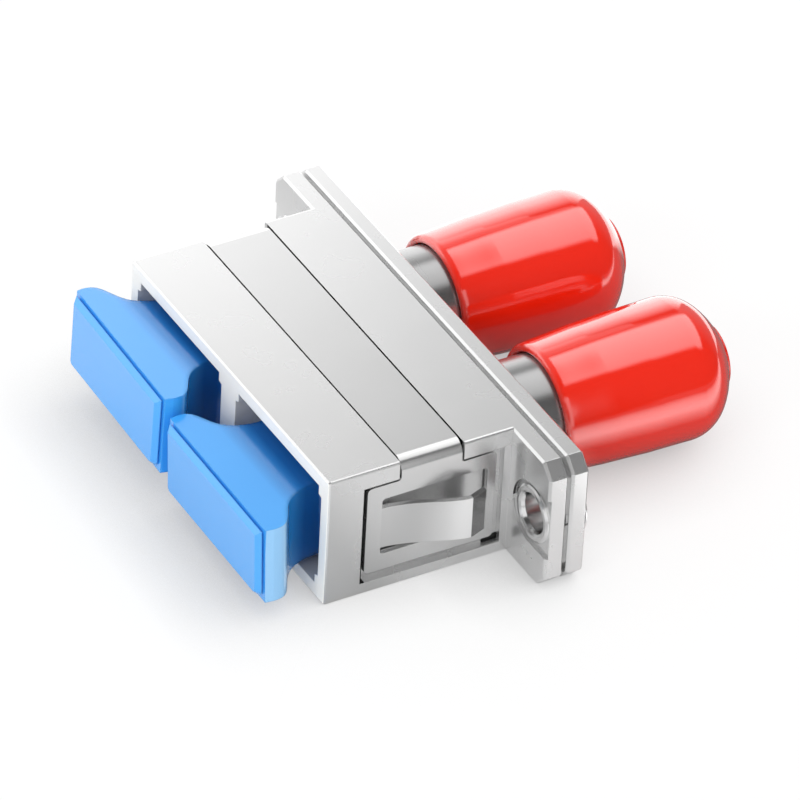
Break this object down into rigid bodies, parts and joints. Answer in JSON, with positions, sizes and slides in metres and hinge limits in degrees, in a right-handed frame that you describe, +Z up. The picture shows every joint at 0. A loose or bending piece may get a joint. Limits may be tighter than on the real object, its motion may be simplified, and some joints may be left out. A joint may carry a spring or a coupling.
{
  "type": "hybrid fibre adapter",
  "caption": "Metal fibre adapter with SC ports in front and ST bayonet posts behind a screw flange, with a wrap-round spring clip, dust plugs and dust caps.",
  "frame": {"origin": "half-way between the two mounting holes, on the flange's mounting face", "axes": "+X from the SC ports to the ST posts, along the fibres; +Y across the two channels; +Z up, square to the broad faces"},
  "size_m": [0.0361, 0.0348, 0.0094],
  "materials": {
    "satin_nickel": "satin nickel plate on a zinc casting",
    "spring_steel": "smooth rolled sheet",
    "polished_nickel": "polished",
    "holder_plastic": "moulded, matte",
    "bronze": "drawn tube",
    "blue_plastic": "glossy moulding",
    "red_vinyl": "glossy soft vinyl"
  },
  "bodies": {
    "adapter": {"sc_housing": "satin_nickel", "st_housing": "satin_nickel", "spring_clip": "spring_steel", "rivet_left": "polished_nickel", "rivet_right": "polished_nickel", "latch_holder_left": "holder_plastic", "latch_holder_right": "holder_plastic", "st_holder_left": "holder_plastic", "st_holder_right": "holder_plastic", "sleeve_left": "bronze", "sleeve_right": "bronze"},
    "plug_left": {"dust_plug_left": "blue_plastic"},
    "plug_right": {"dust_plug_right": "blue_plastic"},
    "cap_left": {"dust_cap_left": "red_vinyl"},
    "cap_right": {"dust_cap_right": "red_vinyl"}
  },
  "joints": [
    {"name": "plug_left_pull", "type": "slide", "parent": "adapter", "child": "plug_left", "axis": [-1, 0, 0], "range_m": [0, 0.012]},
    {"name": "plug_right_pull", "type": "slide", "parent": "adapter", "child": "plug_right", "axis": [-1, 0, 0], "range_m": [0, 0.012]},
    {"name": "cap_left_pull", "type": "slide", "parent": "adapter", "child": "cap_left", "axis": [1, 0, 0], "range_m": [0, 0.01]},
    {"name": "cap_right_pull", "type": "slide", "parent": "adapter", "child": "cap_right", "axis": [1, 0, 0], "range_m": [0, 0.01]}
  ]
}
